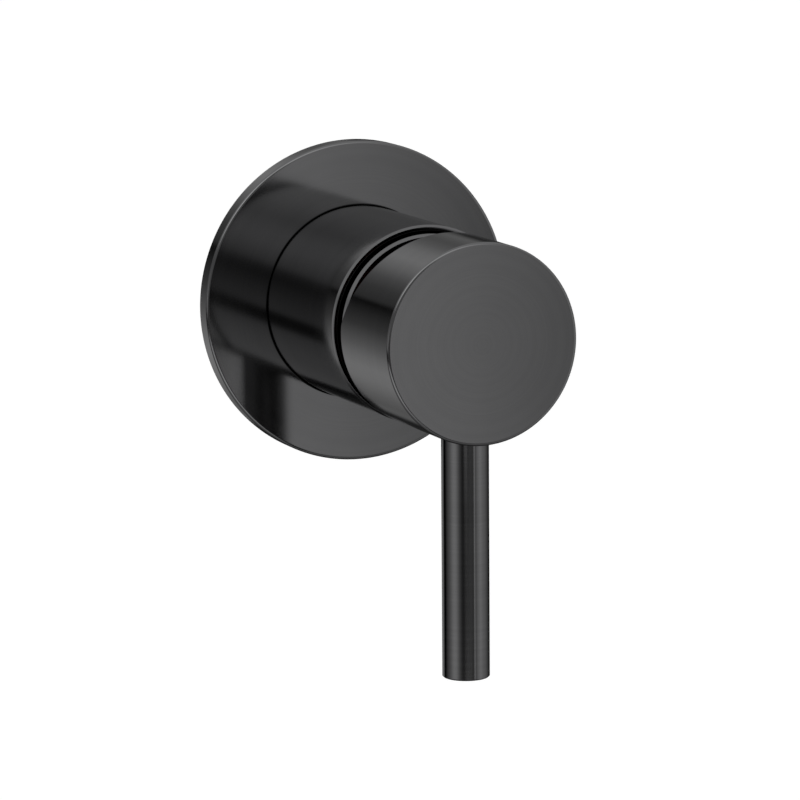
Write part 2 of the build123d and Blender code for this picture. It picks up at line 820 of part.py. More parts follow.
with BuildPart() as lever_pin:
    with BuildSketch(FACE.offset(lever_depth)):
        with BuildLine():
            Polyline(
                (0, lever_end),
                (lever_radius - lever_edge, lever_end),
                (lever_radius, lever_end + lever_edge),
                (lever_radius, lever_seat),
                (stud_radius - stud_edge, lever_seat),
                (stud_radius - stud_edge, lever_seat + stud_neck),
                (stud_radius, lever_seat + stud_neck),
                (stud_radius, stud_end - stud_edge),
                (stud_radius - stud_edge, stud_end),
                (0, stud_end),
                close=True,
            )
        make_face()
    revolve(axis=lever_axis)
lever_pin.part.label = "lever_pin"
export_step(lever_pin.part, "parts/lever_pin.step")

# Grub screw: clamps the head to the spindle, reached when the pin lever is screwed out
with BuildPart() as grub_screw:
    with BuildSketch(Plane.XY.offset(grub_bottom)):
        with Locations((0, -lever_depth)):
            Circle(grub_radius)
    extrude(amount=grub_length)
    chamfer(grub_screw.edges().group_by(Axis.Z)[-1], grub_cup)
    with BuildSketch(Plane.XY.offset(grub_bottom)):
        with Locations((0, -lever_depth)):
            RegularPolygon(grub_key / 2, 6, major_radius=False)
    extrude(amount=grub_key_depth, mode=Mode.SUBTRACT)
grub_screw.part.label = "grub_screw"
export_step(grub_screw.part, "parts/grub_screw.step")

# Blanking plug and its fibre washer in the lower port
plug_seat = -port_reach - washer_height
plug_axis = Axis((0, -port_depth, 0), (0, 0, 1))

with BuildPart() as plug_washer:
    with BuildSketch(Plane.XY.offset(plug_seat)):
        with Locations((0, -port_depth)):
            Circle(plug_head_radius)
            Circle(port_bore + seal_inset, mode=Mode.SUBTRACT)
    extrude(amount=washer_height)
plug_washer.part.label = "plug_washer"
export_step(plug_washer.part, "parts/plug_washer.step")

with BuildPart() as blanking_plug:
    with BuildSketch(FACE.offset(port_depth)):
        with BuildLine():
            Polyline(
                (0, plug_seat - plug_head_height),
                (plug_head_radius - plug_edge, plug_seat - plug_head_height),
                (plug_head_radius, plug_seat - plug_head_height + plug_edge),
                (plug_head_radius, plug_seat),
                (port_bore - thread_gap, plug_seat),
                (port_bore - thread_gap, plug_seat + plug_thread_length),
                (0, plug_seat + plug_thread_length),
                close=True,
            )
        make_face()
    revolve(axis=plug_axis)
    with BuildSketch(Plane.XY.offset(plug_seat - plug_head_height)):
        with Locations((0, -port_depth)):
            RegularPolygon(plug_key / 2, 6, major_radius=False)
    extrude(amount=plug_key_depth, mode=Mode.SUBTRACT)
blanking_plug.part.label = "blanking_plug"
export_step(blanking_plug.part, "parts/blanking_plug.step")
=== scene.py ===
import json
from math import cos, hypot, pi, radians, sin, tan

import bmesh
import bpy
from mathutils import Matrix, Vector


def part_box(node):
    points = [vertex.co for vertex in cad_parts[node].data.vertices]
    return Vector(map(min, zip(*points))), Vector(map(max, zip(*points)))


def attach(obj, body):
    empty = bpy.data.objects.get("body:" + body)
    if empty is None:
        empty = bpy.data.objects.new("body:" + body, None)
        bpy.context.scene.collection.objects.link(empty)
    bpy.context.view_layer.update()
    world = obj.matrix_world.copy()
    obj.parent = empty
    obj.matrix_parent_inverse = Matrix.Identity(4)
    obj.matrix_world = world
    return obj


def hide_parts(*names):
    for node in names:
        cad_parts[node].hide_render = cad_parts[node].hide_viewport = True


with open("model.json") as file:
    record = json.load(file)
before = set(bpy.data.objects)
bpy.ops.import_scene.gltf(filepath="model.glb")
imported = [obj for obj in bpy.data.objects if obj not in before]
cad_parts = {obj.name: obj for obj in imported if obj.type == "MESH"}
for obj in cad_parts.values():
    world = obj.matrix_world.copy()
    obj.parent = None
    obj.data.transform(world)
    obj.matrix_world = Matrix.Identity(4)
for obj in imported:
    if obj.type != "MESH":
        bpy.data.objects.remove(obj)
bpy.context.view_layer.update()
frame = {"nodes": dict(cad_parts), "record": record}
nodes = frame["nodes"]
mm = 0.001


# Shader nodes


class Socket:
    """One output of a shader node. An expression on values adds its Math nodes."""

    def __init__(self, shader, output):
        self.shader = shader
        self.output = output

    def __add__(self, other):
        return self.shader.math("ADD", self, other)

    def __sub__(self, other):
        return self.shader.math("SUBTRACT", self, other)

    def __rsub__(self, other):
        return self.shader.math("SUBTRACT", other, self)

    def __mul__(self, other):
        return self.shader.math("MULTIPLY", self, other)

    def __truediv__(self, other):
        return self.shader.math("DIVIDE", self, other)

    def __pow__(self, other):
        return self.shader.math("POWER", self, other)


class Shader:
    """The node tree of a material or of the world."""

    def __init__(self, tree):
        self.tree = tree
        tree.nodes.clear()

    def node(self, kind, settings=None, inputs=None, output=0):
        """Adds a node: its settings first, then the values or links of its sockets."""
        made = self.tree.nodes.new("ShaderNode" + kind)
        for name, value in (settings or {}).items():
            if name == "stops":
                ramp = made.color_ramp
                while len(ramp.elements) < len(value):
                    ramp.elements.new(1.0)
                for stop, (place, shade) in zip(ramp.elements, value):
                    stop.position = place
                    stop.color = (shade, shade, shade, 1.0)
            else:
                setattr(made, name, value)
        for name, value in (inputs or {}).items():
            if isinstance(value, Socket):
                self.tree.links.new(value.output, made.inputs[name])
            else:
                made.inputs[name].default_value = value
        return Socket(self, made.outputs[output]) if made.outputs else None

    def math(self, operation, *values):
        """A Math node on values, which are numbers or sockets."""
        return self.node("Math", {"operation": operation}, dict(enumerate(values)))

    def place(self):
        """Position in the part's own frame, as a vector and its three coordinates."""
        vector = self.node("TexCoord", output="Object")
        return vector, *(self.node("SeparateXYZ", inputs={0: vector}, output=i) for i in range(3))

    def vector(self, x, y, z):
        """A vector of three values."""
        return self.node("CombineXYZ", inputs={0: x, 1: y, 2: z})

    def distance(self, first, second):
        """How far a place is from an axis, by its two coordinates across that axis."""
        return (first * first + second * second) ** 0.5

    def noise(self, vector, scale, detail=2.0, roughness=0.5):
        """Cloudy noise between 0 and 1."""
        return self.node("TexNoise", None,
                         {"Vector": vector, "Scale": scale, "Detail": detail, "Roughness": roughness})

    def span(self, value, low, high, start=0.0, end=1.0, smooth=True):
        """Maps a value from low..high to start..end, held at both ends."""
        kind = "SMOOTHSTEP" if smooth else "LINEAR"
        return self.node("MapRange", {"interpolation_type": kind, "clamp": True},
                         {"Value": value, "From Min": low, "From Max": high, "To Min": start, "To Max": end})

    def mix(self, factor, low, high):
        """Mixes two colours by a factor."""
        return self.node("Mix", {"data_type": "RGBA"},
                         {"Factor": factor, "A": opaque(low), "B": opaque(high)}, "Result")

    def bump(self, height, distance, strength=1.0):
        """Normals of a surface that a height raises by up to a distance in metres."""
        return self.node("Bump", None, {"Height": height, "Distance": distance, "Strength": strength})

    def skin(self, **inputs):
        """The principled shader as this material's surface. Its sockets are named in lower case."""
        named = {key.replace("_", " ").title(): opaque(value) for key, value in inputs.items()}
        self.node("OutputMaterial", None, {"Surface": self.node("BsdfPrincipled", None, named)})


def opaque(value):
    """A colour of three numbers with its alpha added; anything else as it is."""
    return (*value, 1.0) if isinstance(value, (tuple, list)) and len(value) == 3 else value


def material(name):
    """A new material and its node tree."""
    made = bpy.data.materials.new(name)
    made.use_nodes = True
    return made, Shader(made.node_tree)


# Finishes


def turned_lines(shader, across, along, fineness):
    """Fine lines on broader ones, which change only with the distance from the turning axis and along it."""
    coarseness = fineness / 3.5
    elsewhere = 3.7
    fine_share = 0.7
    fine = shader.noise(shader.vector(across * fineness, along * fineness, 0.0), 1.0, 4.0, 0.65)
    broad = shader.noise(shader.vector(across * coarseness, along * coarseness, elsewhere), 1.0, 3.0)
    return fine * fine_share + broad * (1 - fine_share)


def satin_gunmetal(name, axis, depth=0.0):
    """Dark satin plating on metal that was brushed as it turned on an axis, at a depth before the wall."""
    made, shader = material(name)
    vector, x, y, z = shader.place()
    if axis == "Y":
        across, along = shader.distance(x, z), y
    else:
        across, along = shader.distance(x, y + depth), z
    lines = turned_lines(shader, across, along, 2600.0)
    cloud = shader.noise(vector, 90.0, 3.0)
    line_share = 0.85
    tone = shader.span(lines * line_share + cloud * (1 - line_share), 0.4, 0.6, smooth=False)
    shader.skin(
        base_color=shader.mix(tone, (0.111, 0.111, 0.113), (0.125, 0.125, 0.127)),
        metallic=1.0,
        specular_tint=(0.62, 0.62, 0.62),
        roughness=shader.span(lines, 0.3, 0.7, 0.09, 0.115, smooth=False),
        normal=shader.bump(lines, 0.0016 * mm),
    )
    return made


def cast_brass():
    """Sand-cast yellow brass with machined barrel, port faces and port bores."""
    made, shader = material("cast_brass")
    vector, x, y, z = shader.place()
    # Each pair is where the sand-cast skin ends and where the machined one begins
    barrel_edge = (-0.7 * mm, -0.9 * mm)
    face_edge = (26.9 * mm, 26.95 * mm)
    bore_start = (12.9 * mm, 13.1 * mm)
    bore_edge = (11.35 * mm, 11.4 * mm)
    x_side = shader.math("ABSOLUTE", x)
    z_side = shader.math("ABSOLUTE", z)
    faces = shader.span(shader.math("MAXIMUM", x_side, z_side), *face_edge)
    machined = shader.math("MAXIMUM", shader.span(y, *barrel_edge), faces)
    for along, across in ((x_side, z), (z_side, x)):
        off_port = shader.distance(across, y - port_depth * mm)
        bore = shader.span(off_port, *bore_edge, 1.0, 0.0) * shader.span(along, *bore_start)
        machined = shader.math("MAXIMUM", machined, bore)
    grain = shader.noise(vector, 1300.0, 5.0, 0.7)
    lumps = shader.noise(vector, 160.0, 2.0)
    lines = turned_lines(shader, shader.distance(x, z), y, 3000.0)
    cast = shader.mix(lumps, (0.57, 0.42, 0.19), (0.63, 0.47, 0.22))
    worked = shader.mix(lines, (0.70, 0.53, 0.26), (0.78, 0.61, 0.33))
    cast_roughness = shader.span(grain, 0.3, 0.7, 0.42, 0.58)
    worked_roughness = shader.span(lines, 0.3, 0.7, 0.18, 0.28)
    cast_height = (grain + lumps) * (0.1 * mm)
    worked_height = lines * (0.003 * mm)
    shader.skin(
        base_color=shader.mix(machined, cast, worked),
        metallic=1.0,
        roughness=cast_roughness * (1 - machined) + worked_roughness * machined,
        normal=shader.bump(cast_height * (1 - machined) + worked_height * machined, 1.0),
    )
    return made


def turned_metal(name, low, high):
    """Bright metal with the fine rings that a lathe leaves."""
    made, shader = material(name)
    x, y, z = shader.place()[1:]
    lines = turned_lines(shader, shader.distance(x, z), y, 3000.0)
    shader.skin(
        base_color=shader.mix(lines, low, high),
        metallic=1.0,
        roughness=shader.span(lines, 0.3, 0.7, 0.2, 0.32),
        normal=shader.bump(lines, 0.003 * mm),
    )
    return made


def moulded(name, low, high, roughness, grain_depth):
    """Moulded plastic, rubber or ceramic with a fine even grain, whose depth is in millimetres."""
    spread = 0.05
    made, shader = material(name)
    vector = shader.place()[0]
    grain = shader.noise(vector, 2500.0, 3.0, 0.6)
    cloud = shader.noise(vector, 120.0, 2.0)
    shader.skin(
        base_color=shader.mix(cloud, low, high),
        roughness=shader.span(grain, 0.3, 0.7, roughness - spread, roughness + spread),
        normal=shader.bump(grain, grain_depth * mm),
    )
    return made


def foam():
    """Closed-cell foam, cut from sheet."""
    made, shader = material("foam")
    vector = shader.place()[0]
    cells = shader.node("TexVoronoi", {"feature": "F1"}, {"Vector": vector, "Scale": 1400.0}, "Distance")
    shader.skin(
        base_color=shader.mix(cells, (0.10, 0.10, 0.105), (0.05, 0.05, 0.055)),
        roughness=shader.span(cells, 0.0, 1.0, 0.85, 0.95),
        normal=shader.bump(cells, 0.2 * mm, 0.6),
    )
    return made


def fibre():
    """Pressed red-brown fibre with short pale strands."""
    made, shader = material("fibre")
    vector = shader.place()[0]
    strands = shader.noise(vector, 1800.0, 6.0, 0.75)
    shader.skin(
        base_color=shader.mix(shader.span(strands, 0.35, 0.7), (0.30, 0.07, 0.045), (0.52, 0.18, 0.12)),
        roughness=shader.span(strands, 0.3, 0.7, 0.65, 0.85),
        normal=shader.bump(strands, 0.04 * mm),
    )
    return made


# Meshes


def rounded(corners, steps=4):
    """A closed outline whose corners (across, along, rounding) are turned into arcs."""
    straight = 0.01
    longest_cut = 0.45
    outline = []
    count = len(corners)
    for i, (across, along, rounding) in enumerate(corners):
        here = Vector((across, along))
        back = Vector(corners[i - 1][:2]) - here
        ahead = Vector(corners[(i + 1) % count][:2]) - here
        turn = pi - back.angle(ahead)
        if rounding <= 0 or turn < straight:
            outline.append(here)
            continue
        taken = min(rounding * tan(turn / 2), longest_cut * back.length, longest_cut * ahead.length)
        start = here + back.normalized() * taken
        end = here + ahead.normalized() * taken
        middle = (back.normalized() + ahead.normalized()).normalized()
        radius = taken / tan(turn / 2)
        centre = here + middle * hypot(radius, taken)
        first = start - centre
        sign = 1 if first.x * (end - centre).y - first.y * (end - centre).x > 0 else -1
        for step in range(steps + 1):
            outline.append(centre + turned(first, sign * turn * step / steps))
    return outline


def soft_edge(edge, front, tilt, curve=1.5, side=1, steps=6):
    """Corners of the shallow arc in which a flat face ends before its edge, from the face to the edge."""
    last_rounding = 0.05
    start = edge - side * curve * sin(tilt)
    arc = []
    for i in range(steps + 1):
        angle = tilt * i / steps
        rounding = last_rounding if i == steps else 0
        arc.append((start + side * curve * sin(angle), front - curve * (1 - cos(angle)), rounding))
    return arc


def turned(vector, angle):
    """A plane vector, turned by an angle."""
    x, y = vector
    return Vector((x * cos(angle) - y * sin(angle), x * sin(angle) + y * cos(angle)))


def round_mixer_axis(across, along, angle):
    """A point at a radius and a depth before the wall, at an angle from +X towards +Z."""
    return Vector((across * cos(angle), -along, across * sin(angle)))


def revolved(name, outline_at, segments=256, place=round_mixer_axis):
    """A closed ring mesh from the outline at each angle."""
    weld = 1e-7
    shape = bmesh.new()
    rings = []
    for i in range(segments):
        angle = 2 * pi * i / segments
        rings.append([shape.verts.new(place(p.x * mm, p.y * mm, angle)) for p in outline_at(angle)])
    for i, ring in enumerate(rings):
        following = rings[(i + 1) % segments]
        for j in range(len(ring)):
            k = (j + 1) % len(ring)
            shape.faces.new((ring[j], ring[k], following[k], following[j]))
    bmesh.ops.remove_doubles(shape, verts=shape.verts, dist=weld)
    bmesh.ops.recalc_face_normals(shape, faces=shape.faces)
    return finished(name, shape)


def finished(name, shape):
    """An object of a bmesh, smooth, with normals that follow its larger faces."""
    mesh = bpy.data.meshes.new(name)
    for face in shape.faces:
        face.smooth = True
    shape.to_mesh(mesh)
    shape.free()
    piece = bpy.data.objects.new(name, mesh)
    bpy.context.scene.collection.objects.link(piece)
    weigh_normals(piece)
    return piece


def weigh_normals(piece):
    """Lets the larger faces lead the shading, up to the sharp edges."""
    weighted = piece.modifiers.new("weighted", "WEIGHTED_NORMAL")
    weighted.mode = "FACE_AREA"
    weighted.weight = 100
    weighted.keep_sharp = True


def box(name, low, high):
    """A box between two corners in millimetres."""
    shape = bmesh.new()
    bmesh.ops.create_cube(shape, size=1.0)
    low, high = Vector(low) * mm, Vector(high) * mm
    for vert in shape.verts:
        vert.co = Vector(low[i] + (vert.co[i] + 0.5) * (high[i] - low[i]) for i in range(3))
    return finished(name, shape)


def cut(piece, *cutters):
    """Takes the cutters' forms out of a piece, and the cutters out of the scene."""
    sharp = radians(50)
    piece.modifiers.clear()
    for cutter in cutters:
        cutter.modifiers.clear()
        hole = piece.modifiers.new(cutter.name, "BOOLEAN")
        hole.operation = "DIFFERENCE"
        hole.solver = "EXACT"
        hole.object = cutter
    bpy.context.view_layer.update()
    carved = bpy.data.meshes.new_from_object(piece.evaluated_get(bpy.context.evaluated_depsgraph_get()))
    piece.modifiers.clear()
    piece.data = carved
    for cutter in cutters:
        bpy.data.objects.remove(cutter)
    carved.set_sharp_from_angle(angle=sharp)
    weigh_normals(piece)


def ridge(name, outline, pitch, start, end, place, steps=64):
    """A helical ridge with an outline (radius, offset along) that sinks into the wall at both ends."""
    run_out = steps / 4
    shape = bmesh.new()
    count = int((end - start) / pitch * steps)
    foot = outline[0][0]
    rows = []
    for i in range(count + 1):
        rise = min(1.0, i / run_out, (count - i) / run_out)
        along = start + pitch * i / steps
        angle = 2 * pi * i / steps
        rows.append([
            shape.verts.new(place((foot + (across - foot) * rise) * mm, (along + offset) * mm, angle))
            for across, offset in outline
        ])
    for near, far in zip(rows, rows[1:]):
        for j in range(len(outline)):
            k = (j + 1) % len(outline)
            shape.faces.new((near[j], near[k], far[k], far[j]))
    shape.faces.new(rows[0])
    shape.faces.new(reversed(rows[-1]))
    bmesh.ops.recalc_face_normals(shape, faces=shape.faces)
    return finished(name, shape)


def dressed(piece, finish, slot, body, *replaced):
    """Gives a made piece its finish and its body, and hides the nodes that it stands for. The slot is not
    used.
    """
    piece.data.materials.append(finish)
    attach(piece, body)
    if replaced:
        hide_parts(*replaced)
    return piece


# Sizes in millimetres, from the frame where it gives them


def reach(node, axis, side):
    """How far from the origin a node's box ends on one side of an axis, in millimetres."""
    return abs(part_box(node)[side][axis]) / mm


flange_radius = reach("wall_flange", 0, 1)
flange_depth = reach("wall_flange", 1, 0)
sleeve_radius = reach("sleeve", 0, 1)
sleeve_back = reach("sleeve", 1, 1)
sleeve_front = reach("sleeve", 1, 0)
dome_radius = reach("dome_ring", 0, 1)
dome_back = reach("dome_ring", 1, 1)
dome_front = reach("dome_ring", 1, 0)
head_radius = reach("handle_head", 0, 1)
head_back = reach("handle_head", 1, 1)
head_front = reach("handle_head", 1, 0)
lever_radius = reach("lever_pin", 0, 1)
lever_depth = (reach("lever_pin", 1, 0) + reach("lever_pin", 1, 1)) / 2
lever_end = -reach("lever_pin", 2, 0)
stud_end = -reach("lever_pin", 2, 1)

port_depth = 14.0  # of the ports' axes behind the wall
slip = 0.05  # between pieces that slide or press on each other

# Roundings of corners, and the tilt in which flat faces end
crisp = 0.1
fine_round = 0.12
slight = 0.15
small = 0.2
soft = 0.3
wide = 0.8
edge_tilt = radians(33)

satin = satin_gunmetal("satin_gunmetal", "Y")


# Wall flange
flange_skin = 1.8
flange_rim = 2.0
flange_hole = sleeve_radius + 0.2
flange_inside = flange_radius - flange_rim
flange_floor = flange_depth - flange_skin
hole_tilt = radians(15)
hole_curve = 1.0
collar_outside = sleeve_radius + 4.1
ring_back = reach("flange_o_ring", 1, 1)
ring_front = reach("flange_o_ring", 1, 0)
groove_floor = reach("flange_o_ring", 0, 1) + slip
groove_back = ring_back - slip
groove_front = ring_front + slip

flange_outline = rounded([
    (flange_hole, 0, crisp),
    (flange_hole, groove_back, 0),
    (groove_floor, groove_back, 0),
    (groove_floor, groove_front, 0),
    (flange_hole, groove_front, 0),
    *reversed(soft_edge(flange_hole, flange_depth, hole_tilt, hole_curve, side=-1)),
    *soft_edge(flange_radius, flange_depth, edge_tilt),
    (flange_radius, 0, crisp),
    (flange_inside, 0, crisp),
    (flange_inside, flange_floor, soft),
    (collar_outside, flange_floor, soft),
    (collar_outside, 0, crisp),
])
flange = revolved("turned_flange", lambda angle: flange_outline, segments=320)
dressed(flange, satin, "gunmetal", "body", "wall_flange")

# O-ring of the flange, which its groove presses flat on the sleeve
pressed_round = 0.6
rubber = moulded("black_rubber", (0.025, 0.025, 0.025), (0.04, 0.04, 0.04), 0.55, 0.01)
pressed_outline = rounded([
    (sleeve_radius, ring_back, pressed_round),
    (groove_floor, ring_back, pressed_round),
    (groove_floor, ring_front, pressed_round),
    (sleeve_radius, ring_front, pressed_round),
])
pressed_ring = revolved("pressed_ring", lambda angle: pressed_outline)
dressed(pressed_ring, rubber, "black_rubber", "body", "flange_o_ring")

# Sleeve
sleeve_wall = 1.3
sleeve_edge = 0.45
sleeve_inside = sleeve_radius - sleeve_wall
seat_radius = 21.1
seat_taper = 1.6
seat_front = sleeve_back + 15.0

sleeve_outline = rounded([
    (seat_radius, sleeve_back, crisp),
    (sleeve_radius, sleeve_back, soft),
    (sleeve_radius, sleeve_front - sleeve_edge, small),
    (sleeve_radius - sleeve_edge, sleeve_front, fine_round),
    (sleeve_inside, sleeve_front, crisp),
    (sleeve_inside, seat_front + seat_taper, small),
    (seat_radius, seat_front, small),
])
sleeve = revolved("turned_sleeve", lambda angle: sleeve_outline)
dressed(sleeve, satin, "gunmetal", "body", "sleeve")

# Dome ring
dome_wall = 1.4
dome_rim_edge = 0.62
dome_rise = 0.3
dome_bore = 20.0
dome_hole = 13.18
dome_shelf = 46.0
dome_shelf_step = 1.5
dome_rim = dome_front - dome_rise
dome_inside = dome_radius - 2 * dome_wall

dome_outline = rounded([
    (dome_hole, dome_front, slight),
    (dome_radius - dome_rim_edge, dome_rim, slight),
    (dome_radius, dome_rim - dome_rim_edge, slight),
    (dome_radius, dome_back, small),
    (dome_bore, dome_back, crisp),
    (dome_bore, dome_shelf - dome_shelf_step, small),
    (dome_inside, dome_shelf, small),
    (dome_inside, dome_rim - dome_wall, small),
    (dome_hole, dome_front - dome_wall, crisp),
])
dome = revolved("turned_dome", lambda angle: dome_outline)
dressed(dome, satin, "gunmetal", "body", "dome_ring")

# Head, with the slanted relief at its top rear
head_wall = 1.7
cavity_depth = 11.9
boss_radius = 9.0
boss_length = 6.0
relief_height = 2.0
relief_slope = tan(radians(22.8))
cavity_radius = head_radius - head_wall
cavity_floor = head_back + cavity_depth
boss_back = cavity_floor - boss_length


def head_rear(across, angle):
    """Depth of the head's rear edge: flat below, and slanted where the relief is cut."""
    return head_back + max(0.0, across * sin(angle) - relief_height) * relief_slope


def head_outline(angle):
    """Half of the head's section, which the relief shortens at the top."""
    return rounded([
        (0, head_front, 0),
        *soft_edge(head_radius, head_front, edge_tilt),
        (head_radius, head_rear(head_radius, angle), soft),
        (cavity_radius, head_rear(cavity_radius, angle), slight),
        (cavity_radius, cavity_floor, wide),
        (boss_radius, cavity_floor, wide),
        (boss_radius, boss_back, small),
        (0, boss_back, 0),
    ])


def round_lever_axis(across, along, angle):
    """A point at a radius and height on the pin lever's own axis."""
    return Vector((across * cos(angle), -lever_depth * mm + across * sin(angle), along))


# Holes of the head: on the pin lever's axis are the pin's seat, its stud's hole and the grub screw's above
lever_seat = -21.5
stud_radius = 4.0
grub_radius = 3.0
grub_top = -2.0
overshoot = 1.0
below_head = -head_radius - overshoot
bore_corners = [
    (0, below_head),
    (lever_radius + slip, below_head),
    (lever_radius + slip, lever_seat),
    (stud_radius + slip, lever_seat),
    (stud_radius + slip, stud_end + slip),
    (grub_radius + slip, stud_end + slip),
    (grub_radius + slip, grub_top),
    (0, grub_top),
]
bore_outline = [Vector(corner) for corner in bore_corners]
socket_half = reach("socket_insert", 0, 1) + slip
socket_end = reach("socket_insert", 1, 0) + slip
socket_low = (-socket_half, -socket_end, -socket_half)
socket_high = (socket_half, -boss_back + overshoot, socket_half)

head = revolved("turned_head", head_outline, segments=360)
lever_bore = revolved("lever_bore", lambda angle: bore_outline, segments=96, place=round_lever_axis)
socket = box("socket", socket_low, socket_high)
cut(head, lever_bore, socket)
dressed(head, satin, "gunmetal", "lever", "handle_head")

# Pin lever
lever_edge = 0.3
stud_edge = 0.5
stud_neck = stud_radius - stud_edge
neck_end = lever_seat + 1.4

lever_outline = rounded([
    (0, lever_end, 0),
    (lever_radius - lever_edge, lever_end, fine_round),
    (lever_radius, lever_end + lever_edge, fine_round),
    (lever_radius, lever_seat, slight),
    (stud_neck, lever_seat, small),
    (stud_neck, neck_end, crisp),
    (stud_radius, neck_end + stud_edge, crisp),
    (stud_radius, stud_end - stud_edge, crisp),
    (stud_neck, stud_end, crisp),
    (0, stud_end, 0),
])
lever_satin = satin_gunmetal("satin_gunmetal_lever", "Z", lever_depth * mm)
lever = revolved("turned_lever", lambda angle: lever_outline, segments=192, place=round_lever_axis)
dressed(lever, lever_satin, "gunmetal", "lever", "lever_pin")


# Finishes of the pieces that stay as they are
finishes = {
    "cast_brass": cast_brass(),
    "turned_brass": turned_metal("turned_brass", (0.68, 0.51, 0.24), (0.78, 0.61, 0.32)),
    "steel": turned_metal("steel", (0.58, 0.58, 0.58), (0.68, 0.68, 0.68)),
    "black_rubber": rubber,
    "foam": foam(),
    "white_plastic": moulded("white_plastic", (0.80, 0.80, 0.77), (0.85, 0.85, 0.83), 0.38, 0.006),
    "grey_plastic": moulded("grey_plastic", (0.31, 0.32, 0.33), (0.37, 0.38, 0.39), 0.42, 0.008),
    "red_plastic": moulded("red_plastic", (0.50, 0.05, 0.04), (0.60, 0.07, 0.06), 0.38, 0.006),
    "blue_plastic": moulded("blue_plastic", (0.09, 0.18, 0.41), (0.11, 0.22, 0.48), 0.38, 0.006),
    "low_friction": moulded("low_friction", (0.86, 0.86, 0.84), (0.90, 0.90, 0.88), 0.3, 0.003),
    "alumina": moulded("alumina", (0.88, 0.87, 0.84), (0.92, 0.91, 0.88), 0.14, 0.001),
    "fibre": fibre(),
}
for part in frame["record"]["subparts"]:
    finish = finishes.get(part["material_slot"])
    if finish:
        for holder in nodes[part["node"]].material_slots:
            holder.material = finish


# Threads of the open ports, half-inch pipe thread
thread_root = 10.55
thread_root_half = 0.84
thread_crest = 9.32
thread_crest_round = 0.1
thread_crest_half = 0.18
thread_outline = [
    (thread_root, -thread_root_half),
    (thread_crest + thread_crest_round, -thread_crest_half),
    (thread_crest, 0),
    (thread_crest + thread_crest_round, thread_crest_half),
    (thread_root, thread_root_half),
]
thread_pitch = 1.814
thread_start = 15.0
thread_end = 25.4


def port_place(direction):
    """Places a radius and a distance from the middle of the body on the axis of one port."""
    side = Vector((0, 1, 0))
    other = direction.cross(side)
    centre = Vector((0, port_depth * mm, 0))

    def place(across, along, angle):
        return centre + direction * along + (side * cos(angle) + other * sin(angle)) * across

    return place


for port, way in (("hot", (-1, 0, 0)), ("cold", (1, 0, 0)), ("outlet", (0, 0, 1))):
    place = port_place(Vector(way))
    thread = ridge(port + "_thread", thread_outline, thread_pitch, thread_start, thread_end, place)
    dressed(thread, finishes["turned_brass"], "cast_brass", "body")


# Pale floor, far below, which the metal doesn't mirror
floor_height = -1.0
floor_size = 40.0
floor_glow = 0.35
floor_mesh = bpy.data.meshes.new("floor")
half = floor_size / 2
corners = [(-half, -half), (half, -half), (half, half), (-half, half)]
floor_mesh.from_pydata([(x, y, floor_height) for x, y in corners], [], [(0, 1, 2, 3)])
floor = bpy.data.objects.new("floor", floor_mesh)
bpy.context.scene.collection.objects.link(floor)
floor.visible_glossy = False

pale, shader = material("pale_floor")
matt = shader.node("BsdfDiffuse", None, {"Color": opaque((0.8, 0.8, 0.8))})
glow = shader.node("Emission", None, {"Color": opaque((1.0, 1.0, 1.0)), "Strength": floor_glow})
seen = shader.math("MAXIMUM", shader.node("LightPath", output="Is Camera Ray"),
                   shader.node("LightPath", output="Is Transmission Ray"))
lit = shader.node("AddShader", None, {0: matt, 1: glow})
surface = shader.node("MixShader", None, {0: seen, 1: matt, 2: lit})
shader.node("OutputMaterial", None, {"Surface": surface})
floor_mesh.materials.append(pale)

# Studio that the metal mirrors. An azimuth of 0 is in front of the mixer and grows towards +X.
studio = bpy.data.worlds.new("studio")
bpy.context.scene.world = studio
studio.use_nodes = True
shader = Shader(studio.node_tree)
direction = shader.node("TexCoord", output="Generated")
dx, dy, dz = (shader.node("SeparateXYZ", inputs={0: direction}, output=i) for i in range(3))
in_degrees = 180 / pi
azimuth = shader.math("ARCTAN2", dx, dy * -1) * in_degrees
elevation = shader.math("ARCSINE", dz) * in_degrees
round_axis = shader.math("ARCTAN2", dz * -1, dx * -1) * in_degrees + 180
off_front = shader.math("ARCCOSINE", dy * -1) * in_degrees
full_turn = 360.0
brightest = 4.0


def cards(turn, *levels):
    """Brightness round a turn, which changes evenly between the angles that are given."""
    stops = [((angle % full_turn) / full_turn, level / brightest) for angle, level in levels]
    ramp = shader.node("ValToRGB", {"stops": sorted(stops)}, {"Fac": turn / full_turn}, "Color")
    return ramp * brightest


def band(value, low, high):
    """1 between two angles and 0 outside, with an edge that fades between the two numbers of each."""
    return shader.span(value, *low) * shader.span(value, *high, 1.0, 0.0)


# Cards behind the mixer, by the angle round its axis from +X towards +Z: the sides of the head show them
rear_cards = cards(
    round_axis,
    (0, 0.05), (12, 0.02), (26, 0.30), (46, 0.28), (60, 0.46), (76, 0.84), (91, 1.02), (106, 0.80),
    (122, 0.42), (136, 0.24), (151, 0.17), (156, 0.02), (184, 0.23), (206, 0.60), (219, 0.88), (233, 1.03),
    (247, 0.90), (268, 0.50), (282, 0.31), (294, 0.28), (303, 0.02), (335, 0.03), (359, 0.05),
)
# Cards in front of it, by the same angle: the sleeve and the flange show them in each other
front_cards = cards(
    round_axis,
    (0, 0.8), (11, 0.85), (25, 1.15), (36, 1.5), (48, 1.75), (62, 1.95), (77, 1.9), (91, 1.75),
    (112, 2.4), (128, 2.4), (149, 1.5), (156, 0.5), (165, 0.3), (198, 1.0), (223, 1.4), (248, 1.6),
    (289, 1.25), (294, 0.12), (314, 0.12), (324, 0.2), (345, 0.2), (359, 0.75),
)
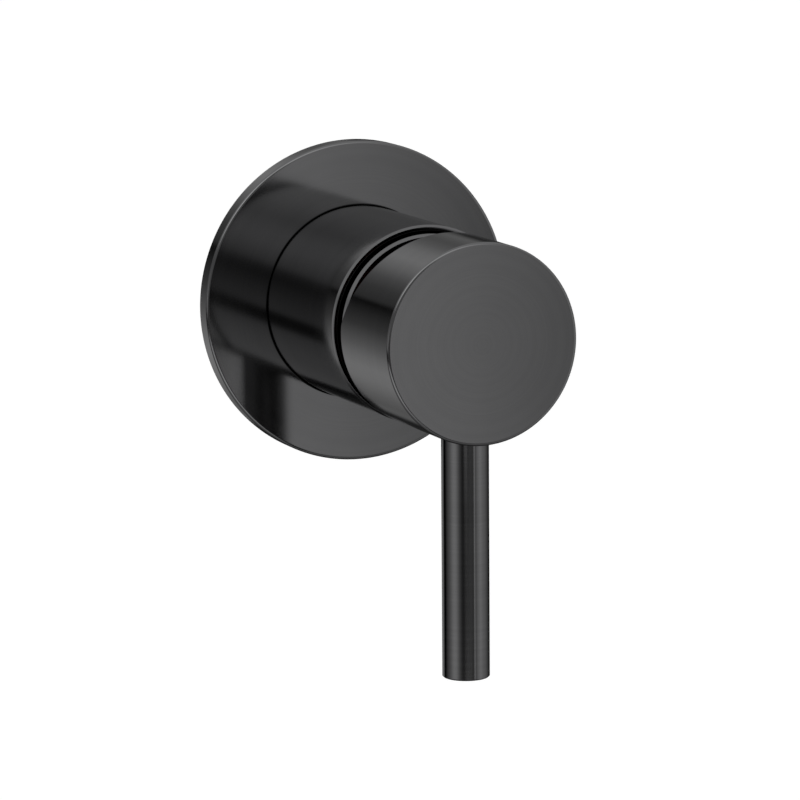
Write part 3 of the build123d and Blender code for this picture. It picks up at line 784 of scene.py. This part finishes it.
# A strip of cards below eye level: the lever shows them, from left to right
strip_cards = cards(
    azimuth + 180,
    (18, 0.37), (31, 0.0), (44, 0.0), (66, 0.35), (79, 0.55), (91, 0.88), (100, 1.02), (110, 0.95),
    (129, 0.31), (140, 0.09), (148, 0.06), (162, 0.13), (182, 0.22), (196, 0.20), (208, 0.41), (219, 0.75),
    (234, 1.02), (250, 0.76), (265, 0.63), (284, 0.33), (295, 0.16), (312, 0.0), (342, 0.0),
)
# A white sky and a dim ground. Between them the strip's cards go on, paler, above and below the strip itself.
sky = shader.span(elevation, 8.0, 26.0)
ground = shader.span(elevation, -62.0, -38.0, 0.05, 0.45)
room = shader.math("MAXIMUM", strip_cards, 0.4)
room_height = band(elevation, (-40, -28), (8, 22))
strip_height = band(elevation, (-15.5, -13.8), (-8, -5))
around = room * room_height + (1 - room_height) * (sky + (1 - sky) * ground)
around = strip_cards * strip_height + around * (1 - strip_height)

# The cards before and behind the mixer cover the rest, but the front ones leave the strip open
strip_opening = band(elevation, (-16, -14), (-10.2, -8.2))
behind = shader.span(off_front, 180 - 33, 180 - 27)
before = band(off_front, (14, 18), (27, 33)) * (1 - strip_opening)
mirrored = around * (1 - behind) * (1 - before) + rear_cards * behind + front_cards * before

# Rays that don't mirror get plain white, a little less of it where they only light
glossy = shader.node("LightPath", output="Is Glossy Ray")
diffuse = shader.node("LightPath", output="Is Diffuse Ray")
diffuse_loss = 0.2
level = mirrored * glossy + (1 - glossy) * (1 - diffuse * diffuse_loss)
light = shader.node("Background", None, {"Color": opaque((1, 1, 1)), "Strength": level})
shader.node("OutputWorld", None, {"Surface": light})


# Slim card in front, to the right: the flat faces of flange and head show it, and it darkens to the right
card_azimuth = radians(22.0)
card_elevation = radians(-8.0)
card_distance = 1.2
card_sides = (-88 * mm, 70 * mm)
card_heights = (-235 * mm, 145 * mm)
card_fade = 10 * mm
card_levels = (1.13, 0.41)
card_right = Vector((cos(card_azimuth), sin(card_azimuth), 0))
card_out = Vector((
    sin(card_azimuth) * cos(card_elevation), -cos(card_azimuth) * cos(card_elevation), sin(card_elevation),
))
card_up = card_right.cross(-card_out)
card_corners = [
    card_out * card_distance + card_right * card_sides[i] + card_up * card_heights[j]
    for i, j in ((0, 0), (1, 0), (1, 1), (0, 1))
]
card_mesh = bpy.data.meshes.new("slim_card")
card_mesh.from_pydata(card_corners, [], [(0, 1, 2, 3)])
card = bpy.data.objects.new("slim_card", card_mesh)
bpy.context.scene.collection.objects.link(card)
card.visible_camera = False
card.visible_diffuse = False
card.visible_shadow = False

fading, shader = material("slim_card")
x, y = shader.place()[1:3]
side = x * card_right.x + y * card_right.y
shade = shader.span(side, *card_sides, *card_levels, smooth=False)
edges = shader.span(side, card_sides[0], card_sides[0] + card_fade)
edges = edges * shader.span(side, card_sides[1] - card_fade, card_sides[1], 1.0, 0.0)
shine = shader.node("Emission", None, {"Color": shader.vector(shade, shade, shade), "Strength": 1.0})
clear = shader.node("BsdfTransparent")
faded = shader.node("MixShader", None, {0: edges, 1: clear, 2: shine})
shader.node("OutputMaterial", None, {"Surface": faded})
card_mesh.materials.append(fading)


def soft_lamp(name, place, target, size, watts):
    """A square lamp that lights without showing in the metal."""
    data = bpy.data.lights.new(name, "AREA")
    data.size = size
    data.energy = watts
    lamp = bpy.data.objects.new(name, data)
    bpy.context.scene.collection.objects.link(lamp)
    lamp.location = place
    lamp.rotation_euler = (Vector(target) - Vector(place)).to_track_quat("-Z", "Y").to_euler()
    lamp.visible_glossy = False
    lamp.visible_camera = False


soft_lamp("key", (-0.9, -1.2, 1.3), (0, 0, 0), 0.9, 9.0)
soft_lamp("fill", (1.4, 0.9, 0.6), (0, 0, 0), 1.2, 6.0)

# Camera: fitted to the circles of the flange, of its hole and of the head, then moved by a third of a pixel
camera_azimuth = radians(-21.967)
camera_elevation = radians(9.439)
camera_roll = radians(-0.421)
camera_distance = 1015.2 * mm
aim = Vector((0, -50 * mm, 0))
aim_right = -6.57 * mm
aim_up = -17.86 * mm
focal_ratio = 4.185
frame_pixels = 800

back = Vector((
    sin(camera_azimuth) * cos(camera_elevation),
    -cos(camera_azimuth) * cos(camera_elevation),
    sin(camera_elevation),
))
level_right = Vector((cos(camera_azimuth), sin(camera_azimuth), 0))
level_up = back.cross(level_right)
right = level_right * cos(camera_roll) + level_up * sin(camera_roll)
up = level_up * cos(camera_roll) - level_right * sin(camera_roll)

camera_data = bpy.data.cameras.new("camera")
camera_data.sensor_width = 36
camera_data.lens = focal_ratio * camera_distance / mm * camera_data.sensor_width / frame_pixels
camera_data.clip_start = 0.01
camera_data.clip_end = 100
camera = bpy.data.objects.new("camera", camera_data)
bpy.context.scene.collection.objects.link(camera)
camera_turn = Matrix((right, up, back)).transposed().to_4x4()
camera_place = aim + back * camera_distance + right * aim_right + up * aim_up
camera.matrix_world = Matrix.Translation(camera_place) @ camera_turn
bpy.context.scene.camera = camera
bpy.context.scene.view_settings.view_transform = "Standard"
